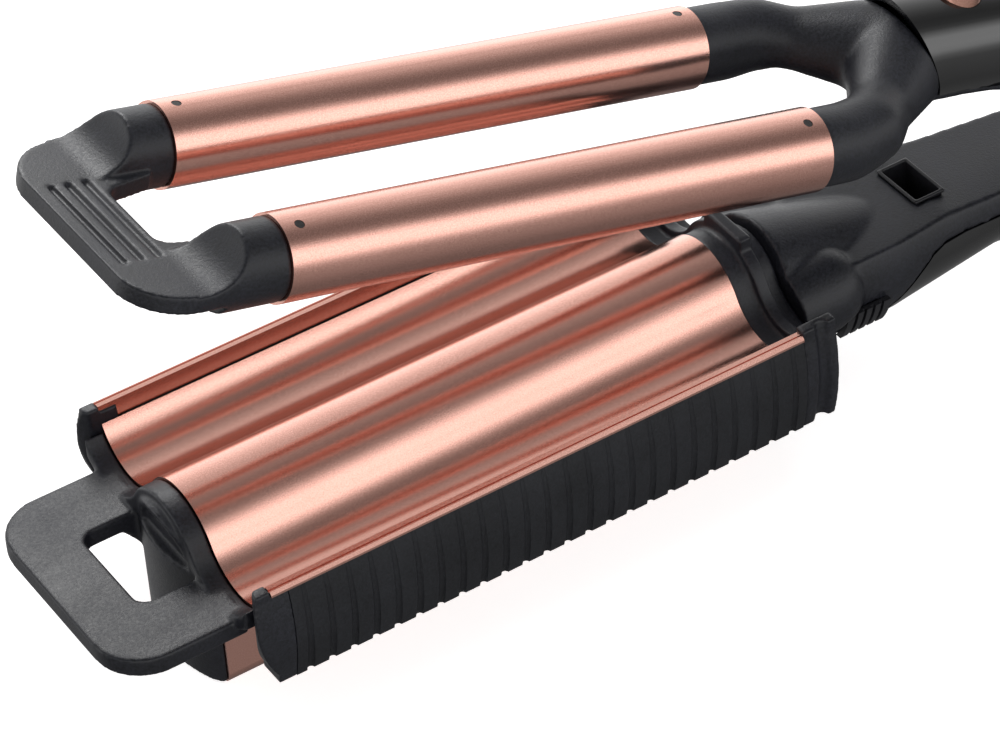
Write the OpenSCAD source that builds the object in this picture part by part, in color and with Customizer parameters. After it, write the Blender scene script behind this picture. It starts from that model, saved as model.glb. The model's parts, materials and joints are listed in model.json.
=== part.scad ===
// Twin-barrel hair waver (crimper), lying open.
// Construction frame: x = 0 at the front end of the wave plate and grows towards the handle,
// y = 0 on the plane of symmetry, z = 0 at the top of the lips beside the wave plate.
// stand() moves it so that it stands on z = 0 with its outline centred on x = 0, y = 0.

/* [Barrels] */
// Outside diameter of each upper barrel
barrel_d = 19; // [16:0.5:21]
// Length of the coated part of each barrel
barrel_len = 138; // [115:1:166]
// Wall of the barrel tubes
barrel_wall = 1.4; // [1:0.1:2]
// Distance between the two barrel axes
barrel_pitch = 46.6; // [44:0.2:50.2]

/* [Wave plate] */
// Gap left for hair between a closed barrel and its trough
hair_gap = 2.85; // [2:0.05:3.5]
// Thickness of the wave plate
plate_t = 1.6; // [1.2:0.1:2]
// Height of the crest above the lips
crest_rise = 2.1; // [1:0.1:3]
// Height of the closed barrel axes above the lips
barrel_rise = 0.95; // [0.5:0.05:1.5]
// Width of each lip strip
lip_w = 3.3; // [2.6:0.1:3.8]

/* [Keel] */
// Depth of the keel below the lips
keel_depth = 42.5; // [38:0.5:51]
// Width of the keel
keel_w = 35; // [30:0.5:42]
// Radius of the keel's lower edges
keel_r = 4; // [3:0.5:6]

/* [Side shields] */
// Radius of the rounded side shields
shield_r = 51; // [46:1:58]
// Depth of the shields below the lips
shield_depth = 26.6; // [24:0.2:32]
// Wall of the shields
shield_wall = 1.6; // [1.2:0.1:2]
// Number of grooves in each shield
groove_n = 24; // [12:1:26]

/* [Loop and tip bridge] */
// Reach of the front loop ahead of the wave plate
loop_reach = 32.8; // [26:0.2:38]
// Half the width of the loop
loop_half = 30; // [26:0.2:33]
// Thickness of the loop
loop_t = 4.8; // [4.4:0.1:6.4]
// Reach of the tip bridge ahead of the barrels
bridge_reach = 33; // [28:0.1:40]
// Half the width of the tip bridge
bridge_half = 31.6; // [29:0.1:36]

/* [Handle] */
// Distance from the rear end of the wave plate to the hinge pin
handle_len = 148.8; // [135:0.2:180]
// Height of the hinge pin below the lips
hinge_drop = 18; // [16:0.5:20]
// Opening angle of the jaws
open_angle = 14.8; // [12:0.1:17]
// Radius of the upper arm
upper_r = 13.4; // [12.6:0.1:16.6]
// Radius of the lower arm where it meets the jaw
neck_r = 18.3; // [17:0.1:20]
// Radius of the lower arm at the grip
grip_r = 15.2; // [14.6:0.1:16.4]
// Wall of the moulded shells
wall = 2.2; // [1.8:0.1:2.6]

/* [Moving parts] */
// Travel of the wave carriage and of its slider
depth_travel = 4.5; // [3:0.5:5]
// Diameter of the hinge pin
pin_d = 5; // [4:0.1:6]
// Diameter of the carriage's guide pins
guide_d = 4; // [3.4:0.1:4.8]
// Diameter of the power button
button_d = 10; // [8.4:0.1:12]
// Travel of the power button
button_travel = 1; // [0.6:0.1:1.4]
// Radial clearance of running fits
run_gap = 0.05; // [0.03:0.01:0.1]
// Clearance of a part that slides past another
slide_gap = 0.3; // [0.2:0.05:0.4]

/* [Hidden] */
$fn = 64;
eps = 0.01;

// ---- wave profile ---------------------------------------------------------------------------
trough_y = barrel_pitch / 2;
trough_r = barrel_d / 2 + hair_gap;
crest_drop = (pow(trough_y, 2) + pow(barrel_rise, 2) - pow(crest_rise + trough_r, 2))
             / (2 * (crest_rise + trough_r - barrel_rise));
crest_z = -crest_drop;
crest_r = crest_rise + crest_drop;
side_cos = trough_y / (crest_r + trough_r);
side_sin = (barrel_rise - crest_z) / (crest_r + trough_r);
plate_lap = 1.05;
plate_half = trough_y + trough_r - plate_lap;
lip_in = plate_half + slide_gap;
lip_out = lip_in + lip_w;
lip_ledge = 1;
lip_h = sqrt(pow(trough_r, 2) - pow(lip_in - trough_y, 2)) - barrel_rise + 0.3;
plate_len = barrel_len - 1;
trough_floor = barrel_rise - trough_r;

// ---- jaw ------------------------------------------------------------------------------------
keel_half = keel_w / 2;
keel_wall = 1.6;
cap_t = 5;
cap_drop = 0.4;
cap_ring = plate_t + 2;
room_r = trough_r + cap_ring + slide_gap;
jaw_half = lip_out + 1;
shield_y = jaw_half - shield_r;
shield_z = -13;
block_in = loop_half + 0.4;
tip_back = 4.3;
tip_reach = 4.7;
tip_dome_r = 30;
tip_dome_z = -8;
tip_turn_r = 9.3;
block_len = 9.2;
keel_lead = 2;
nose_reach = 6.8;
web_x0 = plate_len + cap_t;
web_t = 3.2;
web_rise = 1.4;
wall_x0 = web_x0 + web_t + 0.5;
wall_t = 4;
arm_x0 = wall_x0 + wall_t;
loop_top = trough_floor;
loop_bottom = loop_top - loop_t;

// ---- upper jaw, drawn closed ----------------------------------------------------------------
barrel_x = 1.5;
barrel_back = barrel_x + barrel_len;
collar_r = barrel_d / 2 - 0.6;
spigot_r = barrel_d / 2 - barrel_wall - 0.1;
spigot_len = 8;
hinge_x = plate_len + handle_len;
hinge_z = -hinge_drop;
bend_x = barrel_back + 10.5;
tube_in_r = barrel_d / 2 - barrel_wall;

// ---- arms -----------------------------------------------------------------------------------
arm_z = -16.5;
taper_x0 = arm_x0 + 30.4;
taper_x1 = taper_x0 + 33;
split_x = arm_x0 + 45.4;
split_slope = 0.12;
lower_top = -8.2;
upper_bottom = -2.8;
upper_z = 6.2;
upper_lean = 0.5;
upper_taper = 0.5;
upper_slope = 0.24;
grip_len = 88;
fall = asin((keel_depth + arm_z - grip_r) / grip_len);
bend_lap = 0.8;
upper_x0 = barrel_back + 43.5;
upper_bend = upper_x0 + 23;
upper_fall = atan(upper_slope);
upper_len = (hinge_x - upper_bend - 6) / cos(upper_fall);
cover_lift = 3;
seam_x = arm_x0 + 36.4;
neck_rise = 0.3;
neck_fall_len = 37;
neck_taper = 3;
deck_fall = atan(0.208);
seam_drop = 5.5;
cheek_r = 9;
cheek_in = 9.3;
cheek_out = 12.8;
knuckle_half = cheek_in - slide_gap;
spring_half = 3.4;
bush_d = pin_d + 3;

// Underside of the upper arm, roof of the lower arm and axis of the lower arm at x
function upper_floor(x) = upper_bottom - max(0, x - split_x) * split_slope;
function lower_roof(x) = lower_top - max(0, x - split_x) * split_slope;
function lower_axis(x) = arm_z - max(0, x - taper_x1) * tan(fall);
// Top of the upper arm and seat of its screw heads at x
function form_top(x) = upper_z + upper_r / cos(upper_fall)
                       - max(0, x - upper_bend) * tan(upper_fall);
function upper_seat(x) = upper_floor(x) + head_t + 0.4;

// ---- end of the handle ----------------------------------------------------------------------
grip_end = [taper_x1 + grip_len * cos(fall), 0, arm_z - grip_len * sin(fall)];
gland_d = 9;
gland_bore = 5.2;
gland_out = 7;
gland_drop = 2.5;
gland_at = [grip_end.x - gland_drop * sin(fall), 0, grip_end.z - gland_drop * cos(fall)];
rear_end = gland_at.x + (grip_r + gland_out) * cos(fall) + gland_d / 2 * sin(fall);
stand_x = (loop_reach - rear_end) / 2;

// ---- depth adjuster -------------------------------------------------------------------------
tongue_half = 7;
tongue_z0 = -25;
tongue_z1 = -13;
tongue_end = arm_x0 + 24;
guide_x = [arm_x0 + 5, arm_x0 + 11];
slider_x0 = arm_x0 + 13.3;
slider_len = 12;
slider_z0 = -28;
slider_z1 = -19.8;
slider_proud = 1.6;
stem_x0 = slider_x0 + 1.5;
stem_len = 8;
stem_z0 = -24.5;
stem_z1 = -20.3;
slider_pin_d = 2.4;
rib_n = 4;

// ---- button, latch and screws ---------------------------------------------------------------
button_x = upper_x0 + 12;
board_z = 9;
socket_x = arm_x0 + 45.6;
socket_len = 8.6;
socket_half = 7.5;
socket_wall = 0.9;
lug_half = 2;
lug_len = 3.8;
lug_drop = 10.8;
screw_d = 2.6;
head_d = 5;
head_t = 1.8;
screw_hole = screw_d + 0.4;
head_hole = head_d + 0.4;
post_d = 7;
upper_screw_x = [button_x + 36, hinge_x - 23];
lower_screw_x = [split_x + 22, split_x + 62];

// ---- placing --------------------------------------------------------------------------------
module stand() {
    translate([stand_x, 0, keel_depth]) children();
}
module opened() {
    stand() translate([hinge_x, 0, hinge_z]) rotate([0, open_angle, 0])
        translate([-hinge_x, 0, -hinge_z]) children();
}
// A flat outline (y, z) drawn out along x
module along_x(x0, x1) {
    translate([x0, 0, 0]) rotate([90, 0, 90]) linear_extrude(x1 - x0) children();
}
// A flat outline (x, z) drawn out along y
module along_y(y0, y1) {
    translate([0, y1, 0]) rotate([90, 0, 0]) linear_extrude(y1 - y0) children();
}
// A round bar along x
module bar_x(x0, x1, y, z, r) {
    translate([x0, y, z]) rotate([0, 90, 0]) cylinder(r = r, h = x1 - x0);
}
// A round bar along y
module bar_y(y0, y1, x, z, r) {
    translate([x, y0, z]) rotate([-90, 0, 0]) cylinder(r = r, h = y1 - y0);
}
// A round bar along z
module bar_z(z0, z1, x, y, r) {
    translate([x, y, z0]) cylinder(r = r, h = z1 - z0);
}
module block(x0, x1, y0, y1, z0, z1) {
    translate([x0, y0, z0]) cube([x1 - x0, y1 - y0, z1 - z0]);
}
module both_sides() {
    children();
    mirror([0, 1, 0]) children();
}
// A rectangle with round corners, centred on y = 0
module round_rect(x0, x1, half, r) {
    translate([x0 + r, -half]) square([x1 - x0 - 2 * r, 2 * half]);
    translate([x0, -half + r]) square([x1 - x0, 2 * half - 2 * r]);
    for (x = [x0 + r, x1 - r], y = [-half + r, half - r]) translate([x, y]) circle(r = r);
}

// ---- outlines of the jaw's cross-section ----------------------------------------------------
// Everything below the wave surface lowered by off
module under_wave(off, half, deep) {
    foot_y = (crest_r - off) * side_cos;
    foot_z = crest_z + (crest_r - off) * side_sin;
    intersection() {
        translate([0, crest_z]) circle(r = crest_r - off);
        translate([-foot_y, crest_z]) square([2 * foot_y, crest_r]);
    }
    translate([-foot_y, -deep]) square([2 * foot_y, deep + foot_z]);
    for (s = [0, 1]) mirror([s, 0]) difference() {
        translate([foot_y - eps, -deep]) square([half - foot_y + eps, deep]);
        translate([trough_y, barrel_rise]) circle(r = trough_r + off);
    }
}
module keel_2d(off) {
    half = keel_half - off;
    translate([-half, -keel_depth + keel_r]) square([2 * half, keel_depth]);
    translate([-keel_half + keel_r, -keel_depth + off]) square([keel_w - 2 * keel_r, keel_depth]);
    for (s = [-1, 1]) translate([s * (keel_half - keel_r), -keel_depth + keel_r])
        circle(r = keel_r - off);
}
// The end blocks of a side shield: round outside, as high as top beside the lip,
// with room inside for the carriage and its travel
module side_block_2d(top) {
    difference() {
        union() {
            intersection() {
                translate([shield_y, shield_z]) circle(r = shield_r);
                translate([block_in, -shield_depth]) square([20, shield_depth - lip_ledge]);
            }
            translate([lip_in, -lip_h - 0.4]) square([lip_w - 0.3, lip_h + 0.4 + top]);
        }
        for (drop = [0, depth_travel]) translate([trough_y, barrel_rise - drop]) intersection() {
            circle(r = room_r);
            translate([-room_r, -room_r]) square([room_r + lip_in - trough_y, 2 * room_r]);
        }
        translate([trough_y, barrel_rise - depth_travel])
            square([lip_in - trough_y, depth_travel + 1]);
    }
}

// ---- upper jaw ------------------------------------------------------------------------------
screw_at_front = barrel_x + 4.2;
screw_at_back = barrel_back - 4;
screw_lean = 17;
// A bar that points out of the barrel at y, from d0 to d1 off its axis; the near one leans out
module screw_bar(x, y, d0, d1, r) {
    translate([x, y, barrel_rise]) rotate([y < 0 ? screw_lean : 0, 0, 0])
        translate([0, 0, d0]) cylinder(r = r, h = d1 - d0);
}
module barrel(y) {
    difference() {
        bar_x(barrel_x, barrel_back, y, barrel_rise, barrel_d / 2);
        bar_x(barrel_x - 1, barrel_back + 1, y, barrel_rise, tube_in_r);
        for (x = [screw_at_front, screw_at_back]) screw_bar(x, y, 0, barrel_d, 1.1);
    }
}
module barrel_near() { color("rosybrown") opened() barrel(-trough_y); }
module barrel_far() { color("rosybrown") opened() barrel(trough_y); }

core_x0 = barrel_x + spigot_len + 2;
core_x1 = barrel_back - spigot_len - 2;
heater_t = 3.2;
module barrel_cores() {
    color("silver") opened() for (y = [-trough_y, trough_y], s = [0, 1])
        translate([0, y, barrel_rise]) mirror([0, 0, s]) difference() {
            bar_x(core_x0, core_x1, 0, 0, tube_in_r - 0.05);
            block(core_x0 - 1, core_x1 + 1, -barrel_d, barrel_d, -barrel_d, heater_t / 2);
        }
}
module barrel_heaters() {
    color("white") opened() for (y = [-trough_y, trough_y])
        block(core_x0 + 6, core_x1 - 6, y - 5.5, y + 5.5,
              barrel_rise - heater_t / 2, barrel_rise + heater_t / 2);
}
module barrel_screws() {
    color("dimgray") opened() for (y = [-trough_y, trough_y], x = [screw_at_front, screw_at_back])
        screw_bar(x, y, 2.5, barrel_d / 2 - 0.1, 1);
}
module barrel_screw_pilots(x) {
    for (y = [-trough_y, trough_y]) screw_bar(x, y, 2.5, barrel_d, 1);
}

scoop_x = barrel_x - 20;
scoop_r = 11.3;
paddle_top = barrel_rise + 0.2;
paddle_t = 4.2;
module tip_bridge() {
    front = barrel_x - bridge_reach;
    color("darkslategray") opened() difference() {
        union() {
            // flat paddle with a window between the collars
            translate([0, 0, paddle_top - paddle_t]) linear_extrude(paddle_t) difference() {
                round_rect(front, barrel_x - 6, bridge_half, 13);
                hull() {
                    for (s = [-1, 1]) translate([barrel_x - 14.8, s * 7.8]) circle(r = 3.6, $fn = 32);
                    translate([barrel_x - 5, 3.6 - trough_y + collar_r])
                        square([10, 2 * (trough_y - collar_r - 3.6)]);
                    translate([barrel_x - 1, collar_r - trough_y])
                        square([2, 2 * (trough_y - collar_r)]);
                }
            }
            // round collars that scoop down to the paddle
            both_sides() difference() {
                bar_x(front + 12, barrel_x, trough_y, barrel_rise, collar_r);
                bar_y(0, 60, scoop_x, paddle_top + scoop_r, scoop_r);
                block(front - 9, scoop_x, 0, 60, paddle_top, paddle_top + 20);
                block(front - 9, scoop_x + 6, 0, 60, -20, paddle_top - paddle_t);
            }
            both_sides() bar_x(barrel_x - 1, barrel_x + spigot_len, trough_y, barrel_rise, spigot_r);
        }
        // three grip grooves
        for (x = [3.3, 7.3, 11.3]) block(front + x, front + x + 1.5, -15.5, 15.5,
                                          paddle_top - 0.9, paddle_top + 1);
        barrel_screw_pilots(screw_at_front);
    }
}

// Stations of one leg of the yoke: place, half-width and half-height
leg_x = [bend_x, bend_x + 7.5, bend_x + 15, bend_x + 33];
leg_y = [trough_y, trough_y - 1.2, trough_y - 7, 0];
leg_w = [collar_r, 8.3, 7.4, upper_r - 0.5];
leg_h = [collar_r, 8.2, 7.4, upper_r - 0.5];
crotch_x = bend_x + 24;
crotch_r = 7.4;
leg_z = [barrel_rise, barrel_rise + 1.3, barrel_rise + 1.7, upper_z - 1];
module leg_ball(i) {
    translate([leg_x[i], leg_y[i], leg_z[i]])
        scale([leg_w[i], leg_w[i], leg_h[i]]) sphere(r = 1, $fn = 24);
}

// Outside of the upper arm, shrunk by off
module upper_form(off) {
    r = upper_r - off;
    translate([upper_x0 - 12, 0, upper_z]) rotate([0, 90, 0])
        cylinder(r1 = r + upper_taper, r2 = r, h = upper_bend - upper_x0 + 12);
    translate([upper_bend, 0, upper_z]) sphere(r = r);
    translate([upper_bend, 0, upper_z]) rotate([0, 90 + upper_fall, 0]) {
        cylinder(r = r, h = upper_len);
        translate([0, 0, upper_len]) sphere(r = r);
    }
}
// All that lies under the upper arm's flat underside, lifted by up
module below_upper(up) {
    along_y(-50, 50) polygon([
        [upper_x0 - 60, upper_bottom + up], [split_x, upper_bottom + up],
        [hinge_x + 60, upper_floor(hinge_x + 60) + up],
        [hinge_x + 60, -90], [upper_x0 - 60, -90]]);
}
// All that lies ahead of the upper arm's leaning front edge, moved back by off
module before_upper(off) {
    reach = upper_lean * 60;
    along_y(-50, 50) polygon([
        [upper_x0 + off + reach, upper_z - 60], [upper_x0 + off - reach, upper_z + 60],
        [upper_x0 - 90, upper_z + 60], [upper_x0 - 90, upper_z - 60]]);
}
module knuckle(r, half) {
    bar_y(-half, half, hinge_x, hinge_z, r);
}
module upper_cover() {
    color("black") opened() difference() {
        union() {
            difference() {
                upper_form(0);
                upper_form(wall);
                before_upper(0);
            }
            // posts for the screws
            for (x = upper_screw_x) bar_z(upper_floor(x), form_top(x) - wall / 2, x, 0, post_d / 2);
        }
        below_upper(cover_lift);
        both_sides() bar_y(knuckle_half, 40, hinge_x, hinge_z, cheek_r + 0.8);
        knuckle(cheek_r + run_gap, knuckle_half + eps);
        bar_z(upper_z, 40, button_x, 0, button_d / 2 + 1.4);
        for (x = upper_screw_x) bar_z(-20, upper_floor(x) + cover_lift + 6, x, 0, screw_d / 2);
    }
}
module yoke_arm() {
    color("darkslategray") opened() difference() {
        union() {
            // two collars and the bend that joins them
            both_sides() bar_x(barrel_back, bend_x, trough_y, barrel_rise, collar_r);
            both_sides() bar_x(barrel_back - spigot_len, barrel_back + 1, trough_y,
                               barrel_rise, spigot_r);
            intersection() {
                both_sides() for (i = [0 : 2]) hull() {
                    leg_ball(i);
                    leg_ball(i + 1);
                }
                before_upper(0);
            }
            // rounds out the crotch of the two legs
            translate([crotch_x, 0, leg_z[2] + 0.4]) sphere(r = crotch_r);
            // stem that runs back into the arm
            bar_x(leg_x[3], upper_x0 + 4, 0, upper_z, upper_r - wall - slide_gap);
            // floor of the arm
            difference() {
                upper_form(0);
                translate([0, 0, cover_lift]) difference() {
                    block(upper_x0 - 60, hinge_x + 60, -50, 50, -90, 60);
                    below_upper(0);
                }
                before_upper(0);
            }
            // hinge knuckle with its web
            knuckle(cheek_r, knuckle_half);
            intersection() {
                block(hinge_x - 13, hinge_x + 4, -knuckle_half, knuckle_half, hinge_z, 0);
                upper_form(wall + 0.2);
            }
        }
        // flat underside
        difference() {
            below_upper(0);
            knuckle(cheek_r + eps, knuckle_half + eps);
            block(upper_x0 - 90, bend_x + 9, -60, 60, -60, 60);
            // lug that drops into the socket
            block(socket_x - lug_len + 0.6, socket_x + 0.6, -lug_half, lug_half,
                  upper_floor(socket_x) - lug_drop, 0);
        }
        // room for the cheeks of the lower arm, for the spring and for the bushes
        both_sides() bar_y(knuckle_half, 40, hinge_x, hinge_z, cheek_r + 0.8);
        bar_y(-spring_half, spring_half, hinge_x, hinge_z, cheek_r + 1);
        knuckle(bush_d / 2, knuckle_half + 1);
        // hollow of the stem for the heater leads
        bar_x(leg_x[3] - 2, upper_x0 + 20, 0, upper_z, 7);
        for (x = upper_screw_x) {
            bar_z(-40, 0, x, 0, screw_hole / 2);
            bar_z(-40, upper_seat(x), x, 0, head_hole / 2);
        }
        barrel_screw_pilots(screw_at_back);
    }
}
bezel_top = form_top(button_x) + 0.6;
module button_bezel() {
    color("rosybrown") opened() translate([button_x, 0, bezel_top - 3]) difference() {
        cylinder(d = button_d + 2.6, h = 3);
        translate([0, 0, -1]) cylinder(d = button_d + 2 * slide_gap, h = 6);
    }
}
switch_h = 1.9;
module power_button() {
    color("dimgray") opened()
        bar_z(board_z + switch_h + button_travel + slide_gap, bezel_top + 0.5, button_x, 0,
              button_d / 2);
}
module control_board() {
    color("seagreen") opened() {
        block(button_x - 5.5, button_x + 24, -8.5, 8.5, board_z - 1.6, board_z);
        bar_z(board_z, board_z + switch_h, button_x, 0, 2);
        for (x = [9, 16], y = [-4, 4]) block(button_x + x, button_x + x + 5, y - 2, y + 2,
                                              board_z, board_z + 1.4);
        // posts down to the floor of the arm
        difference() {
            for (x = [-2, 20]) bar_z(-12, board_z - 1.6, button_x + x, 0, 2);
            below_upper(cover_lift);
        }
    }
}
module upper_screws() {
    color("gray") opened() for (x = upper_screw_x) {
        bar_z(upper_seat(x) - head_t, upper_seat(x), x, 0, head_d / 2);
        bar_z(upper_seat(x), upper_floor(x) + cover_lift + 5.5, x, 0, screw_d / 2);
    }
}
module hinge_bushes() {
    color("peru") opened() both_sides() difference() {
        bar_y(spring_half, knuckle_half, hinge_x, hinge_z, bush_d / 2);
        knuckle(pin_d / 2 + run_gap, 30);
    }
}

// ---- wave carriage --------------------------------------------------------------------------
module wave_plate() {
    color("rosybrown") stand() along_x(0, plate_len) difference() {
        under_wave(0, plate_half, 30);
        under_wave(plate_t, plate_half + 5, 31);
    }
}
module keel_shell() {
    color("rosybrown") stand() {
        along_x(-eps, plate_len) intersection() {
            under_wave(plate_t, plate_half, 60);
            keel_skin_2d();
        }
        along_x(-keel_lead, 0) intersection() {
            under_wave(cap_ring, plate_half, 60);
            keel_skin_2d();
        }
    }
}
module keel_skin_2d() {
    difference() {
        keel_2d(0);
        keel_2d(keel_wall);
    }
}
module cap_ring_2d() {
    difference() {
        under_wave(cap_drop, plate_half - 0.2, 30);
        under_wave(cap_ring, plate_half + 5, 31);
    }
}
module cap_keel_2d() {
    intersection() {
        keel_2d(0);
        under_wave(cap_ring - 1, plate_half, 60);
    }
}
nose_r = 33;
hole_x = -18.6;
hole_half = 13.2;
module front_cap() {
    color("darkslategray") stand() difference() {
        union() {
            along_x(-cap_t, 0) cap_ring_2d();
            // rounded nose over the end of the keel
            intersection() {
                along_x(-nose_reach - 1, -keel_lead) cap_keel_2d();
                bar_z(-keel_depth - 1, 1, nose_r - nose_reach, 0, nose_r);
            }
            // finger loop
            translate([0, 0, loop_bottom]) linear_extrude(loop_t) difference() {
                round_rect(-loop_reach, 12, loop_half, 12);
                round_rect(hole_x, 30, hole_half, 3);
                translate([-keel_lead, -60]) square([40, 120]);
            }
            // gussets under the loop beside the keel
            both_sides() along_y(hole_half, keel_half)
                polygon([[-9, loop_bottom + 1], [-keel_lead, loop_bottom + 1],
                         [-keel_lead, loop_bottom - 8]]);
        }
        // half-moon recess under the crest
        along_x(-nose_reach - 1, 1.2 - cap_t) intersection() {
            translate([0, crest_z]) circle(r = crest_r - 4.5);
            translate([-20, loop_top]) square([40, 40]);
        }
    }
}
module rear_cap() {
    color("darkslategray") stand() difference() {
        union() {
            along_x(plate_len, web_x0) {
                cap_ring_2d();
                cap_keel_2d();
            }
            along_x(web_x0, web_x0 + web_t) intersection() {
                under_wave(-web_rise, trough_y + 6, 20);
                translate([-40, -20]) square([80, 60]);
            }
            block(web_x0, web_x0 + web_t, -7.2, 7.2, 0, 5);
            block(plate_len + 1, tongue_end, -tongue_half, tongue_half, tongue_z0, tongue_z1);
        }
        for (x = guide_x) bar_z(-60, 0, x, 0, guide_d / 2 + run_gap);
        slider_pin_bar();
    }
}
heater_z0 = -27;
heater_z1 = -24;
module plate_heaters() {
    color("white") stand() for (y = [-9.2, 0.2])
        block(14, plate_len - 14, y, y + 9, heater_z0, heater_z1);
}
module heater_clamps() {
    color("silver") stand() {
        // upper clamp, shaped to the inside of the crest
        along_x(6, plate_len - 6) difference() {
            intersection() {
                under_wave(plate_t + 0.05, plate_half, -heater_z1);
                translate([-11, heater_z1]) square([22, 40]);
            }
            translate([-7, heater_z1 + 3]) square([14, 14]);
        }
        // lower clamp, shaped to the inside of the keel
        along_x(6, plate_len - 6) difference() {
            intersection() {
                keel_2d(keel_wall);
                translate([-11, -keel_depth]) square([22, keel_depth + heater_z0]);
            }
            translate([-8, heater_z0 - 12]) square([16, 10]);
        }
    }
}
module thermal_fuse() {
    color("khaki") stand() bar_x(plate_len - 13, plate_len - 1, 0, -25.5, 1.5);
}
// Thumb slider on the side of the neck, fixed to the carriage's tongue
module depth_slider() {
    color("gray") stand() difference() {
        intersection() {
            union() {
                difference() {
                    block(slider_x0, slider_x0 + slider_len, -40, -10, slider_z0, slider_z1);
                    bar_x(slider_x0 - 1, slider_x0 + slider_len + 1, 0, arm_z, neck_r + 0.15);
                }
                block(stem_x0, stem_x0 + stem_len, -neck_r, -tongue_half, stem_z0, stem_z1);
            }
            bar_x(slider_x0 - 1, slider_x0 + slider_len + 1, 0, arm_z, neck_r + slider_proud);
        }
        // ribs for the thumb
        for (i = [1 : rib_n]) difference() {
            rib_x = slider_x0 + i * slider_len / (rib_n + 1);
            bar_x(rib_x - 0.45, rib_x + 0.45, 0, arm_z, neck_r + slider_proud + 1);
            bar_x(rib_x - 1, rib_x + 1, 0, arm_z, neck_r + slider_proud - 0.7);
        }
        slider_pin_bar();
    }
}
module slider_pin_bar() {
    bar_y(-12, 0, stem_x0 + stem_len / 2, (stem_z0 + stem_z1) / 2, slider_pin_d / 2);
}
module slider_pin() { color("silver") stand() slider_pin_bar(); }

// ---- lower jaw: fixed frame -----------------------------------------------------------------
module jaw_frame() {
    color("darkslategray") stand() difference() {
        union() {
            // cross wall behind the carriage
            along_x(wall_x0, arm_x0) intersection() {
                under_wave(2.2, jaw_half - 7, shield_depth);
                translate([-50, -shield_depth]) square([100, 60]);
            }
            // end blocks that carry the shields
            both_sides() along_x(plate_len + 0.2, plate_len + block_len) side_block_2d(1.3);
        }
        // slot for the carriage's tongue and its travel
        block(wall_x0 - 1, arm_x0 + 1, -tongue_half - slide_gap, tongue_half + slide_gap,
              tongue_z0 - depth_travel - slide_gap, tongue_z1 + slide_gap);
        // finger recess in the outside of each end block
        both_sides() groove(plate_len + 5.2, 1.8);
    }
}
module groove(x, r) {
    cut_r = shield_r + 0.8;
    translate([x, shield_y - 0.35, shield_z + 1.2]) rotate([0, 90, 0]) rotate_extrude()
        translate([cut_r, 0]) circle(r = r, $fn = 24);
}
tip_screw_z = -19;
tip_screw_y = jaw_half - 5;
tip_screw_r = 1.2;
boss_len = 8;
module shield_round(off) {
    translate([shield_y, shield_z]) circle(r = shield_r - off);
}
module shield() {
    difference() {
        union() {
            // boss for the tip's screw
            intersection() {
                bar_x(tip_back, tip_back + boss_len, tip_screw_y, tip_screw_z, 3.2);
                along_x(tip_back, tip_back + boss_len + 1) shield_round(0.8);
            }
            along_x(tip_back, plate_len + 0.2) {
                intersection() {
                    difference() {
                        shield_round(0);
                        shield_round(shield_wall);
                    }
                    translate([block_in, -shield_depth]) square([20, shield_depth - lip_ledge]);
                }
                intersection() {
                    shield_round(0);
                    translate([block_in, -shield_depth]) square([20, shield_wall]);
                }
            }
        }
        bar_x(tip_back - 1, tip_back + boss_len + 1, tip_screw_y, tip_screw_z, tip_screw_r);
        first = tip_back + 3.4;
        step = (plate_len - 3 - first) / (groove_n - 1);
        for (i = [0 : groove_n - 1]) groove(first + i * step, 0.9);
    }
}
module shield_far() { color("dimgray") stand() shield(); }
module shield_near() { color("dimgray") stand() mirror([0, 1, 0]) shield(); }
module shield_tips() {
    color("darkslategray") stand() both_sides() difference() {
        union() {
            along_x(0, tip_back) side_block_2d(-lip_ledge);
            // domed nose
            intersection() {
                along_x(-tip_reach - 1, 0) side_block_2d(0.3);
                bar_z(-shield_depth - 1, 2, tip_back, jaw_half + 1.8, tip_turn_r);
                bar_y(block_in - 1, jaw_half + 1, tip_dome_r - tip_reach, tip_dome_z, tip_dome_r);
            }
        }
        bar_x(0, tip_back + 1, tip_screw_y, tip_screw_z, tip_screw_r);
    }
}
module tip_screws() {
    color("gray") stand() both_sides() {
        bar_x(0, tip_back + boss_len, tip_screw_y, tip_screw_z, tip_screw_r);
        bar_x(tip_back + boss_len, tip_back + boss_len + 1.6, tip_screw_y, tip_screw_z,
              2 * tip_screw_r);
    }
}
module lip() {
    difference() {
        union() {
            along_x(0, plate_len + 0.2)
                translate([lip_in, -lip_ledge]) square([lip_w, lip_ledge + 0.2]);
            // foot inside the shield
            along_x(tip_back, plate_len + 0.2) intersection() {
                translate([lip_in, -lip_h]) square([1.1, lip_h]);
                shield_round(shield_wall + 0.05);
            }
        }
        bar_x(-1, plate_len + 1, trough_y, barrel_rise, trough_r);
        along_x(-1, plate_len + 1) {
            translate([lip_out, 0.2]) rotate(45) square([0.9, 0.9], center = true);
            translate([lip_in + 1.9, -0.2]) square([0.4, 1]);
        }
    }
}
module lip_far() { color("rosybrown") stand() lip(); }
module lip_near() { color("rosybrown") stand() mirror([0, 1, 0]) lip(); }

// ---- lower arm ------------------------------------------------------------------------------
module lower_form(off) {
    r = grip_r - off;
    bar_x(arm_x0 + off, taper_x0, 0, arm_z, neck_r - off);
    translate([taper_x0, 0, arm_z]) rotate([0, 90, 0])
        cylinder(r1 = neck_r - off, r2 = r, h = taper_x1 - 2 - taper_x0);
    bar_x(taper_x1 - 2, taper_x1 + bend_lap, 0, arm_z, r);
    translate([taper_x1, 0, arm_z]) rotate([0, 90 + fall, 0]) rotate_extrude() intersection() {
        union() {
            translate([0, -bend_lap]) square([r, grip_len + bend_lap]);
            translate([0, grip_len]) circle(r = r);
        }
        translate([0, -r]) square([r + 1, grip_len + 2 * r + 1]);
    }
}
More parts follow.
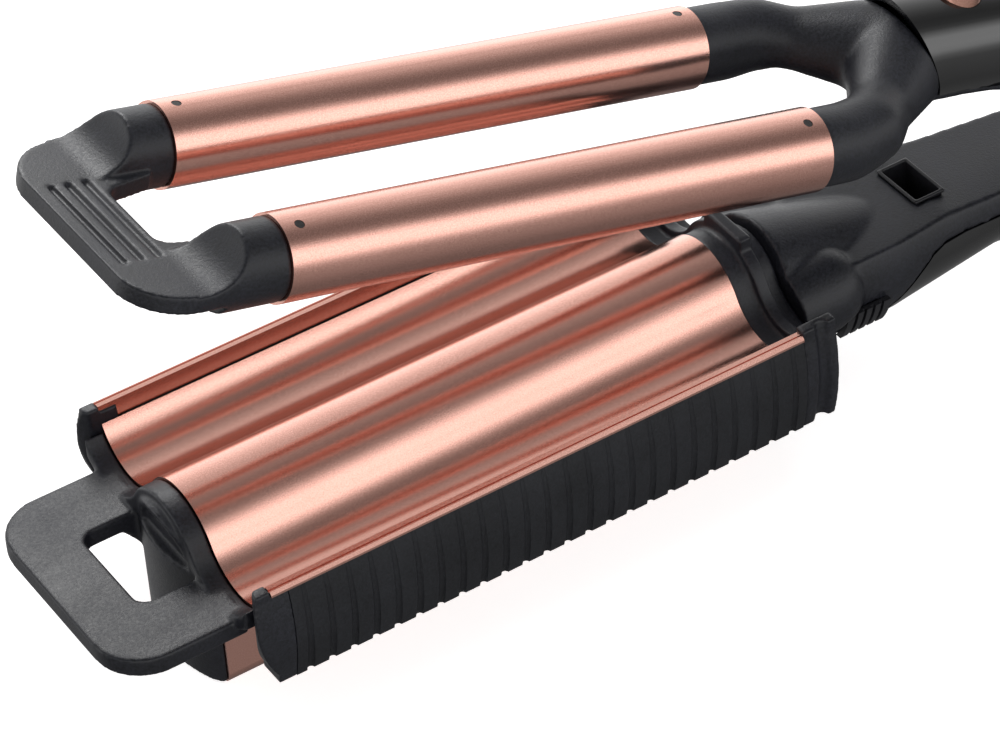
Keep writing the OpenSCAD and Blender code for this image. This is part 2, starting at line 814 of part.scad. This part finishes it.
// All that lies above the lower arm's flat top and its rounded neck, lowered by down
module above_lower(down) {
    difference() {
        along_y(-50, 50) polygon([
            [arm_x0 - 1, lower_top - down], [split_x, lower_top - down],
            [hinge_x + 70, lower_roof(hinge_x + 70) - down],
            [hinge_x + 70, 60], [arm_x0 - 1, 60]]);
        translate([arm_x0 - 2, 0, arm_z]) rotate([0, 90 + deck_fall, 0])
            cylinder(r1 = neck_r - neck_rise - down, r2 = neck_r - neck_rise - neck_taper - down,
                     h = neck_fall_len);
    }
}
// All that belongs to the outer cover: behind and below the seam
module cover_zone() {
    along_y(-50, 50) polygon([
        [seam_x - 9, -90], [seam_x - 7.6, -26], [seam_x - 1.1, -19], [seam_x + 2.9, -15.5],
        [seam_x + 6.4, lower_top - seam_drop - 0.5], [split_x + 4, lower_top - seam_drop - 0.5],
        [hinge_x + 70, lower_roof(hinge_x + 70) - seam_drop], [hinge_x + 70, -90]]);
}
// Hole for the swivelling gland
module gland_hole() {
    translate(gland_at) rotate([0, 90 + fall, 0]) cylinder(d = gland_d + 2 * run_gap, h = 40);
}
lobe_r = 10;
lobe_y = 12;
lobe_z = -15.2;
lobe_len = 11;
module lower_arm() {
    color("darkslategray") stand() difference() {
        union() {
            difference() {
                union() {
                    difference() {
                        lower_form(0);
                        above_lower(0);
                    }
                    // rounded lobes beside the neck
                    both_sides() {
                        bar_x(arm_x0, arm_x0 + lobe_len, lobe_y, lobe_z, lobe_r);
                        translate([arm_x0 + lobe_len, lobe_y, lobe_z]) sphere(r = lobe_r);
                    }
                }
                difference() {
                    lower_form(wall);
                    above_lower(wall);
                    block(arm_x0 - 9, arm_x0 + wall, -60, 60, -60, 60);
                }
                cover_zone();
                block(arm_x0 - 20, arm_x0, -60, 60, -60, 60);
            }
            // cheeks of the hinge
            both_sides() {
                bar_y(cheek_in, cheek_out, hinge_x, hinge_z, cheek_r);
                intersection() {
                    block(hinge_x - cheek_r, hinge_x + cheek_r, cheek_in, cheek_out,
                          hinge_z - 12, hinge_z);
                    difference() {
                        lower_form(0.5);
                        cover_zone();
                    }
                }
            }
            // posts for the guide pins and for the cover's screws
            for (x = guide_x) bar_z(lower_top - 4, lower_top - 1, x, 0, guide_d / 2 + 2);
            for (x = lower_screw_x) bar_z(lower_axis(x) - 2, lower_roof(x) - wall / 2, x, 0,
                                          post_d / 2);
        }
        // room for the knuckle, the spring and the pin
        knuckle(cheek_r + 0.8, cheek_in);
        knuckle(pin_d / 2, 40);
        // slot of the depth slider's stem, and room for its knob outside the neck
        block(stem_x0 - slide_gap, stem_x0 + stem_len + slide_gap, -60, -5,
              stem_z0 - depth_travel - slide_gap, stem_z1 + slide_gap);
        difference() {
            block(slider_x0 - 1.2, slider_x0 + slider_len + slide_gap, -60, -10,
                  slider_z0 - depth_travel - slide_gap, slider_z1 + slide_gap);
            bar_x(slider_x0 - 2, slider_x0 + slider_len + 1, 0, arm_z, neck_r);
        }
        // opening for the carriage's tongue
        block(arm_x0 - 1, arm_x0 + wall + 1, -tongue_half - slide_gap, tongue_half + slide_gap,
              tongue_z0 - depth_travel - slide_gap, tongue_z1 + slide_gap);
        // seat of the latch socket
        block(socket_x - socket_len / 2 + 0.45, socket_x + socket_len / 2 - 0.45,
              0.45 - socket_half, socket_half - 0.45, -40, 10);
        for (x = guide_x) bar_z(-60, lower_top - 1.5, x, 0, guide_d / 2);
        for (x = lower_screw_x) bar_z(-60, lower_axis(x) + 4, x, 0, screw_d / 2);
        gland_hole();
    }
}
module lower_cover() {
    color("black") stand() difference() {
        union() {
            intersection() {
                difference() {
                    lower_form(0);
                    lower_form(wall);
                }
                cover_zone();
            }
            // posts for the screws
            intersection() {
                for (x = lower_screw_x) bar_z(-60, lower_axis(x) - 2, x, 0, post_d / 2 + 0.5);
                lower_form(wall / 2);
            }
        }
        for (x = lower_screw_x) {
            bar_z(-60, 0, x, 0, screw_hole / 2);
            bar_z(-60, lower_axis(x) - 8, x, 0, head_hole / 2);
        }
        gland_hole();
    }
}
module lower_screws() {
    color("gray") stand() for (x = lower_screw_x) {
        bar_z(lower_axis(x) - 8 - head_t, lower_axis(x) - 8, x, 0, head_d / 2);
        bar_z(lower_axis(x) - 8, lower_axis(x) + 3.8, x, 0, screw_d / 2);
    }
}
module latch_socket() {
    z = lower_roof(socket_x);
    x0 = socket_x - socket_len / 2;
    x1 = socket_x + socket_len / 2;
    color("dimgray") stand() difference() {
        union() {
            block(x0, x1, -socket_half, socket_half, z + 0.1, z + 0.9);
            block(x0 + 0.5, x1 - 0.5, 0.5 - socket_half, socket_half - 0.5, z - 9.5, z + 0.5);
        }
        block(x0 + socket_wall, x1 - socket_wall, socket_wall - socket_half,
              socket_half - socket_wall, z - 8.5, z + 5);
    }
}
module guide_pins() {
    z0 = arm_z - neck_r + wall + 0.1;
    color("silver") stand() for (x = guide_x) bar_z(z0, lower_top - 1.5, x, 0, guide_d / 2);
}
module hinge_pin() {
    color("silver") stand() bar_y(-cheek_out, cheek_out, hinge_x, hinge_z, pin_d / 2);
}
// Torsion spring: a round wire wound about the hinge pin
wire_r = 0.7;
coil_r = pin_d / 2 + wire_r + slide_gap;
coil_turns = 3.4;
coil_steps = 20;
coil_rise = 1.6;
function coil_ring(t) = [for (j = [0 : 7])
    let (a = 360 * t, b = 45 * j, r = coil_r + wire_r * cos(b))
    [r * cos(a), (t - coil_turns / 2) * coil_rise + wire_r * sin(b), r * sin(a)]];
module hinge_spring() {
    n = coil_turns * coil_steps;
    points = [for (i = [0 : n], p = coil_ring(i / coil_steps)) p];
    sides = [for (i = [0 : n - 1], j = [0 : 7])
        [i * 8 + j, i * 8 + (j + 1) % 8, (i + 1) * 8 + (j + 1) % 8, (i + 1) * 8 + j]];
    ends = [[for (j = [7 : -1 : 0]) j], [for (j = [0 : 7]) n * 8 + j]];
    color("silver") stand() translate([hinge_x, 0, hinge_z])
        polyhedron(points = points, faces = concat(sides, ends));
}
module cord_gland() {
    color("dimgray") stand() translate(gland_at) rotate([0, 90 + fall, 0]) difference() {
        union() {
            translate([0, 0, 4]) cylinder(d = gland_d, h = grip_r + gland_out - 4);
            translate([0, 0, grip_r - wall - 6.5]) cylinder(d = gland_d + 4, h = 2);
        }
        cylinder(d = gland_bore, h = 60);
    }
}

barrel_near();
barrel_far();
barrel_cores();
barrel_heaters();
barrel_screws();
tip_bridge();
yoke_arm();
upper_cover();
button_bezel();
power_button();
control_board();
upper_screws();
hinge_bushes();
wave_plate();
keel_shell();
front_cap();
rear_cap();
plate_heaters();
heater_clamps();
thermal_fuse();
depth_slider();
slider_pin();
jaw_frame();
shield_near();
shield_far();
shield_tips();
tip_screws();
lip_near();
lip_far();
lower_arm();
lower_cover();
latch_socket();
guide_pins();
hinge_pin();
hinge_spring();
cord_gland();
lower_screws();
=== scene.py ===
import json
import math
import bpy
from mathutils import Matrix, Vector

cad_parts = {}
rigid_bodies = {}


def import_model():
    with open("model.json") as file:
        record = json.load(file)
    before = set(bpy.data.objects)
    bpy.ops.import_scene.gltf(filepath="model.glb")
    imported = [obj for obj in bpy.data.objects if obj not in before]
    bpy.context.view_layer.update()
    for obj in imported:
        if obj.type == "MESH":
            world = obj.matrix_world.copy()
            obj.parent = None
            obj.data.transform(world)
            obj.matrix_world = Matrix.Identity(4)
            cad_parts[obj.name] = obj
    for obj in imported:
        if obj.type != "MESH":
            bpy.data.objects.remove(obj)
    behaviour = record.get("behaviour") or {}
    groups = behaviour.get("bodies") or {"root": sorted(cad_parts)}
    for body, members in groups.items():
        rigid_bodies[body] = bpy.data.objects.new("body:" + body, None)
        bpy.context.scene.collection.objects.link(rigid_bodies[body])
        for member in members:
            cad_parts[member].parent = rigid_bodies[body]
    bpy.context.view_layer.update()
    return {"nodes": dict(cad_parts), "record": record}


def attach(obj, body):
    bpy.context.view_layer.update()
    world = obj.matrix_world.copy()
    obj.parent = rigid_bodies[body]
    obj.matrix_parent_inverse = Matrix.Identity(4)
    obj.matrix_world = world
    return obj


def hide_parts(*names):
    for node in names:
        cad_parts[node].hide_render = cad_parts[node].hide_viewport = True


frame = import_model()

# one millimetre in the scene's metres
MM = 0.001

# ---- camera ----
camera_data = bpy.data.cameras.new("Camera")
camera = bpy.data.objects.new("Camera", camera_data)
bpy.context.scene.collection.objects.link(camera)
camera_data.sensor_width = 36
camera_data.lens = 164.4
camera_data.clip_end = 20
camera.location = (-0.45442, -0.66177, 0.6938)
camera.rotation_euler = (math.radians(49.3014), math.radians(3.1134), math.radians(-33.2522))
bpy.context.scene.camera = camera


# ---- node groups ----
def new_group(name, inputs, outputs):
    """A shader node group with named inputs and outputs: (socket type, name, default)."""
    group = bpy.data.node_groups.new(name, "ShaderNodeTree")
    for kind, title, default in inputs:
        item = group.interface.new_socket(name=title, in_out="INPUT", socket_type=kind)
        item.default_value = default
    for kind, title in outputs:
        group.interface.new_socket(name=title, in_out="OUTPUT", socket_type=kind)
    return group, group.nodes.new("NodeGroupInput"), group.nodes.new("NodeGroupOutput")


def noise(tree, coordinates, scale, detail, rough):
    """A noise texture on the given coordinates, with its scale per metre, fixed or linked."""
    node = tree.nodes.new("ShaderNodeTexNoise")
    node.inputs["Detail"].default_value = detail
    node.inputs["Roughness"].default_value = rough
    if isinstance(scale, bpy.types.NodeSocket):
        tree.links.new(scale, node.inputs["Scale"])
    else:
        node.inputs["Scale"].default_value = scale
    tree.links.new(coordinates, node.inputs["Vector"])
    return node.outputs["Fac"]


def ramp(tree, value, low, high, to_low=0.0, to_high=1.0):
    """Maps a value's range low..high to to_low..to_high, held at both ends."""
    node = tree.nodes.new("ShaderNodeMapRange")
    node.inputs["From Min"].default_value = low
    node.inputs["From Max"].default_value = high
    node.inputs["To Min"].default_value = to_low
    node.inputs["To Max"].default_value = to_high
    tree.links.new(value, node.inputs["Value"])
    return node.outputs["Result"]


def mixed(tree, data_type, factor, first, second):
    """Mixes two linked values or colours by a factor."""
    node = tree.nodes.new("ShaderNodeMix")
    node.data_type = data_type
    tree.links.new(factor, node.inputs["Factor"])
    tree.links.new(first, node.inputs["A"])
    tree.links.new(second, node.inputs["B"])
    return node.outputs["Result"]


def worked_out(tree, operation, *values):
    """A Math node on two or three values, each fixed or linked."""
    node = tree.nodes.new("ShaderNodeMath")
    node.operation = operation
    for socket, value in zip(node.inputs, values):
        if isinstance(value, bpy.types.NodeSocket):
            tree.links.new(value, socket)
        else:
            socket.default_value = value
    return node.outputs["Value"]


def speckle_group():
    """Fine grain of a moulded or anodised surface: a colour between two tones, a mask, a height."""
    patches_per_metre = 55.0
    group, start, end = new_group(
        "Speckle grain",
        [("NodeSocketColor", "Dark tone", (0.02, 0.02, 0.02, 1)),
         ("NodeSocketColor", "Light tone", (0.06, 0.06, 0.06, 1)),
         ("NodeSocketFloat", "Fineness", 2600.0),
         ("NodeSocketFloat", "Cloudiness", 0.35)],
        [("NodeSocketColor", "Colour"), ("NodeSocketFloat", "Mask"), ("NodeSocketFloat", "Height")])
    where = group.nodes.new("ShaderNodeTexCoord").outputs["Object"]
    fine = noise(group, where, start.outputs["Fineness"], detail=3.0, rough=0.7)
    cloud = noise(group, where, patches_per_metre, detail=3.0, rough=0.55)
    mask = mixed(group, "FLOAT", start.outputs["Cloudiness"],
                 ramp(group, fine, low=0.32, high=0.68), ramp(group, cloud, low=0.3, high=0.7))
    colour = mixed(group, "RGBA", mask, start.outputs["Dark tone"], start.outputs["Light tone"])
    group.links.new(colour, end.inputs["Colour"])
    group.links.new(mask, end.inputs["Mask"])
    group.links.new(fine, end.inputs["Height"])
    return group


def handling_group():
    """Faint smudges and wipe marks, drawn out along the tool, that change the gloss."""
    marks_per_metre = 70.0
    group, start, end = new_group(
        "Handling marks", [("NodeSocketFloat", "Amount", 0.1)], [("NodeSocketFloat", "Mask")])
    where = group.nodes.new("ShaderNodeTexCoord").outputs["Object"]
    stretch = group.nodes.new("ShaderNodeMapping")
    stretch.inputs["Scale"].default_value = (0.35, 1.0, 1.0)
    group.links.new(where, stretch.inputs["Vector"])
    marks = noise(group, stretch.outputs["Vector"], marks_per_metre, detail=4.0, rough=0.6)
    worn = ramp(group, marks, low=0.45, high=0.75)
    level = worked_out(group, "MULTIPLY", worn, start.outputs["Amount"])
    group.links.new(level, end.inputs["Mask"])
    return group


# ---- finishes ----
SPECKLE = speckle_group()
HANDLING = handling_group()
RELIEF_DEPTH = 0.1 * MM


def placed_group(tree, group, **values):
    """Puts a shared group in a material, with its own values."""
    node = tree.nodes.new("ShaderNodeGroup")
    node.node_tree = group
    for socket, value in values.items():
        node.inputs[socket.replace("_", " ")].default_value = value
    return node


def finish(name, dark, light, fineness, cloudiness, rough, bump, marks=0.05, **fixed):
    """A material made of the speckle grain, handling marks in the gloss, and a fine relief.
    rough is the pair of roughness values for the dark and light tone, bump the strength of the
    relief, marks the gloss lost to handling, and fixed are values of the shader's own sockets."""
    material = bpy.data.materials.new(name)
    material.use_nodes = True
    tree = material.node_tree
    shader = tree.nodes["Principled BSDF"]
    grain = placed_group(tree, SPECKLE, Dark_tone=(*dark, 1), Light_tone=(*light, 1),
                         Fineness=fineness, Cloudiness=cloudiness)
    hands = placed_group(tree, HANDLING, Amount=marks)
    roughness = worked_out(tree, "ADD", ramp(tree, grain.outputs["Mask"], 0, 1, *rough),
                           hands.outputs["Mask"])
    relief = tree.nodes.new("ShaderNodeBump")
    relief.inputs["Strength"].default_value = bump
    relief.inputs["Distance"].default_value = RELIEF_DEPTH
    tree.links.new(grain.outputs["Height"], relief.inputs["Height"])
    tree.links.new(grain.outputs["Colour"], shader.inputs["Base Color"])
    tree.links.new(roughness, shader.inputs["Roughness"])
    tree.links.new(relief.outputs["Normal"], shader.inputs["Normal"])
    for socket, value in fixed.items():
        shader.inputs[socket.replace("_", " ")].default_value = value
    return material


MATERIALS = {
    "copper": finish(
        "Rose copper", dark=(0.66, 0.34, 0.27), light=(0.86, 0.49, 0.41), fineness=3600,
        cloudiness=0.1, rough=(0.15, 0.21), bump=0.14, Metallic=1.0),
    "trim": finish(
        "Rose trim", dark=(0.70, 0.36, 0.27), light=(0.88, 0.50, 0.40), fineness=2600,
        cloudiness=0.2, rough=(0.16, 0.22), bump=0.1, Metallic=1.0),
    "soft_black": finish(
        "Soft-touch black", dark=(0.001, 0.0012, 0.002), light=(0.016, 0.017, 0.024),
        fineness=1500, cloudiness=0.35, rough=(0.34, 0.52), bump=0.7, Specular_IOR_Level=0.38),
    "shield_black": finish(
        "Shield black", dark=(0.001, 0.0012, 0.002), light=(0.014, 0.015, 0.019),
        fineness=1900, cloudiness=0.35, rough=(0.42, 0.58), bump=0.6, Specular_IOR_Level=0.35),
    "gloss_black": finish(
        "Piano black", dark=(0.0005, 0.0005, 0.0006), light=(0.0012, 0.0012, 0.0014),
        fineness=900, cloudiness=0.5, rough=(0.03, 0.05), bump=0.02, marks=0.02,
        Specular_IOR_Level=0.7, Coat_Weight=0.5, Coat_Roughness=0.02),
    "dark_plastic": finish(
        "Dark plastic", dark=(0.004, 0.004, 0.005), light=(0.018, 0.018, 0.022),
        fineness=2200, cloudiness=0.3, rough=(0.35, 0.45), bump=0.3, Specular_IOR_Level=0.4),
    "steel": finish(
        "Bright steel", dark=(0.42, 0.42, 0.43), light=(0.66, 0.66, 0.67), fineness=2400,
        cloudiness=0.3, rough=(0.22, 0.34), bump=0.15, Metallic=1.0),
    "black_screw": finish(
        "Blackened screw", dark=(0.02, 0.018, 0.018), light=(0.07, 0.065, 0.065),
        fineness=2400, cloudiness=0.3, rough=(0.3, 0.45), bump=0.2, Metallic=0.6),
    "aluminium": finish(
        "Plain aluminium", dark=(0.55, 0.55, 0.56), light=(0.75, 0.75, 0.76), fineness=2000,
        cloudiness=0.3, rough=(0.35, 0.5), bump=0.2, Metallic=1.0),
    "ceramic": finish(
        "Heater ceramic", dark=(0.68, 0.66, 0.6), light=(0.85, 0.84, 0.8), fineness=1500,
        cloudiness=0.4, rough=(0.6, 0.75), bump=0.2),
    "circuit": finish(
        "Circuit green", dark=(0.01, 0.07, 0.03), light=(0.03, 0.16, 0.07), fineness=1200,
        cloudiness=0.4, rough=(0.3, 0.4), bump=0.1),
    "bronze": finish(
        "Sintered bronze", dark=(0.35, 0.22, 0.1), light=(0.6, 0.42, 0.22), fineness=2600,
        cloudiness=0.3, rough=(0.35, 0.5), bump=0.3, Metallic=1.0),
}
SLOT_OF = {item["node"]: item["material_slot"] for item in frame["record"]["subparts"]}
BODY_OF = {node: body for body, nodes in frame["record"]["behaviour"]["bodies"].items()
           for node in nodes}


def dress(piece, slot):
    """Gives a piece the one material of its slot."""
    piece.data.materials.clear()
    piece.data.materials.append(MATERIALS[slot])


for node, slot in SLOT_OF.items():
    dress(frame["nodes"][node], slot)


# ---- moulded pieces ----
def only(piece):
    """Selects this one piece and makes it active."""
    bpy.ops.object.select_all(action="DESELECT")
    piece.select_set(True)
    bpy.context.view_layer.objects.active = piece


def modifier(piece, kind, **settings):
    """Adds a modifier with these settings and applies it."""
    only(piece)
    item = piece.modifiers.new(kind.title(), kind)
    for key, value in settings.items():
        setattr(item, key, value)
    bpy.ops.object.modifier_apply(modifier=item.name)


def softened(node, voxel, passes, keep):
    """A copy of a moulded node whose edges are rounded as a mould's are.
    voxel is the grid in millimetres, passes how far the rounding goes, keep the share of faces."""
    source = frame["nodes"][node]
    piece = source.copy()
    piece.data = source.data.copy()
    piece.name = node + "_moulded"
    piece.data.name = piece.name
    piece.parent = None
    piece.matrix_world = Matrix()
    bpy.context.scene.collection.objects.link(piece)
    only(piece)
    bpy.ops.object.mode_set(mode="EDIT")
    bpy.ops.mesh.select_all(action="SELECT")
    bpy.ops.mesh.remove_doubles(threshold=0.01 * MM)
    bpy.ops.object.mode_set(mode="OBJECT")
    modifier(piece, "REMESH", mode="VOXEL", voxel_size=voxel * MM, adaptivity=0.0)
    modifier(piece, "SMOOTH", factor=0.5, iterations=passes)
    if keep < 1:
        modifier(piece, "DECIMATE", ratio=keep)
    bpy.ops.object.shade_smooth()
    dress(piece, SLOT_OF[node])
    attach(piece, BODY_OF[node])
    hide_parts(node)


softened("yoke_arm", voxel=0.8, passes=26, keep=0.5)
softened("tip_bridge", voxel=0.4, passes=9, keep=0.6)
softened("front_cap", voxel=0.45, passes=13, keep=0.6)
softened("shield_tips", voxel=0.3, passes=9, keep=1)
softened("jaw_frame", voxel=0.45, passes=7, keep=0.5)
softened("rear_cap", voxel=0.4, passes=7, keep=0.5)
softened("lower_arm", voxel=0.6, passes=5, keep=0.5)
softened("latch_socket", voxel=0.25, passes=3, keep=0.6)

# ---- floor ----
bpy.ops.object.select_all(action="DESELECT")
bpy.ops.mesh.primitive_plane_add(size=9, location=(0.6, 0.8, 0))
floor = bpy.context.object
floor.name = "floor"
floor_material = bpy.data.materials.new("Pale floor")
floor_material.use_nodes = True
floor_tree = floor_material.node_tree
floor_shader = floor_tree.nodes["Principled BSDF"]
floor_shader.inputs["Base Color"].default_value = (0.93, 0.925, 0.93, 1)
floor_shader.inputs["Roughness"].default_value = 0.16
floor_shader.inputs["Specular IOR Level"].default_value = 0.25
floor_shader.inputs["Emission Color"].default_value = (1.0, 0.985, 0.98, 1)
# a light table that glows for the camera alone, so that its own light doesn't reach the tool
FLOOR_GLOW = 0.7
rays = floor_tree.nodes.new("ShaderNodeLightPath")
floor_tree.links.new(worked_out(floor_tree, "MULTIPLY", rays.outputs["Is Camera Ray"], FLOOR_GLOW),
                     floor_shader.inputs["Emission Strength"])
floor.data.materials.append(floor_material)
floor.visible_glossy = False


# ---- lights ----
def softbox(name, location, target, width, height, power):
    """A rectangular area light that faces a target."""
    light = bpy.data.lights.new(name, "AREA")
    light.shape = "RECTANGLE"
    light.size, light.size_y = width, height
    light.energy = power
    box = bpy.data.objects.new(name, light)
    bpy.context.scene.collection.objects.link(box)
    box.location = location
    aim = Vector(target) - Vector(location)
    box.rotation_euler = aim.to_track_quat("-Z", "Y").to_euler()
    return box


def only_on(light, slot):
    """Lets a light fall only on the pieces of this finish."""
    lit = bpy.data.collections.new(light.name + " receivers")
    for piece in bpy.data.objects:
        if piece.type == "MESH" and piece.data.materials[:1] == [MATERIALS[slot]]:
            lit.objects.link(piece)
    light.light_linking.receiver_collection = lit


# what the lights are aimed at, in metres
JAWS = (0, 0, 0.05)
FINGER_LOOP = (-0.165, 0, 0.04)
ARMS = (0.1, 0, 0.05)

overhead = softbox("Overhead", (0.1, 0.35, 1.5), JAWS, width=2.2, height=0.9, power=8)
overhead.visible_glossy = False
loop_light = softbox("Loop light", (-0.03, 0.36, 0.38), FINGER_LOOP,
                     width=0.2, height=0.18, power=1.25)
only_on(loop_light, "soft_black")
strip = softbox("Gloss strip", (0.1, -1.88, 0.68), ARMS, width=3.0, height=0.3, power=30)
only_on(strip, "gloss_black")
rear_strip = softbox("Rear gloss strip", (0.1, 1.97, 0.35), ARMS,
                     width=3.0, height=0.5, power=34)
only_on(rear_strip, "gloss_black")

# Soft boxes in front of and behind the table, dark cloth above and below them.
# Each pair is an angle in degrees, up from the front edge and over to the back, and a brightness.
STUDIO = [(-90, 0.16), (-60, 0.2), (-30, 0.36), (-15, 0.45), (-6, 0.8), (3, 1.6), (12, 1.8),
          (30, 1.75), (40, 1.05), (50, 0.42), (60, 0.26), (75, 0.21), (90, 0.26), (105, 0.4),
          (120, 0.6), (135, 0.82), (150, 1.1), (165, 1.5), (185, 1.8), (205, 1.0), (225, 0.35),
          (245, 0.16)]
# At the back edge the angle jumps from 180 to -180 degrees, so it is wrapped to start here, a
# little behind straight down.
SEAM = -100


def studio_world():
    """A world whose brightness depends only on the angle about the length of the table."""
    world = bpy.data.worlds.new("Studio")
    world.use_nodes = True
    tree = world.node_tree
    split = tree.nodes.new("ShaderNodeSeparateXYZ")
    tree.links.new(tree.nodes.new("ShaderNodeTexCoord").outputs["Generated"],
                   split.inputs["Vector"])
    front = worked_out(tree, "MULTIPLY", split.outputs["Y"], -1.0)
    angle = worked_out(tree, "ARCTAN2", split.outputs["Z"], front)
    low, high = math.radians(SEAM), math.radians(SEAM + 360)
    wrapped = worked_out(tree, "WRAP", angle, high, low)
    shade = tree.nodes.new("ShaderNodeValToRGB")
    stops = shade.color_ramp.elements
    first_stops = len(stops)
    for index, (degrees, level) in enumerate(STUDIO):
        spot = (degrees - SEAM) / 360
        stop = stops[index] if index < first_stops else stops.new(spot)
        stop.position = spot
        stop.color = (level, level, level, 1)
    tree.links.new(ramp(tree, wrapped, low, high), shade.inputs["Fac"])
    tree.links.new(shade.outputs["Color"], tree.nodes["Background"].inputs["Color"])
    return world


bpy.context.scene.world = studio_world()
bpy.context.scene.view_settings.view_transform = "Standard"
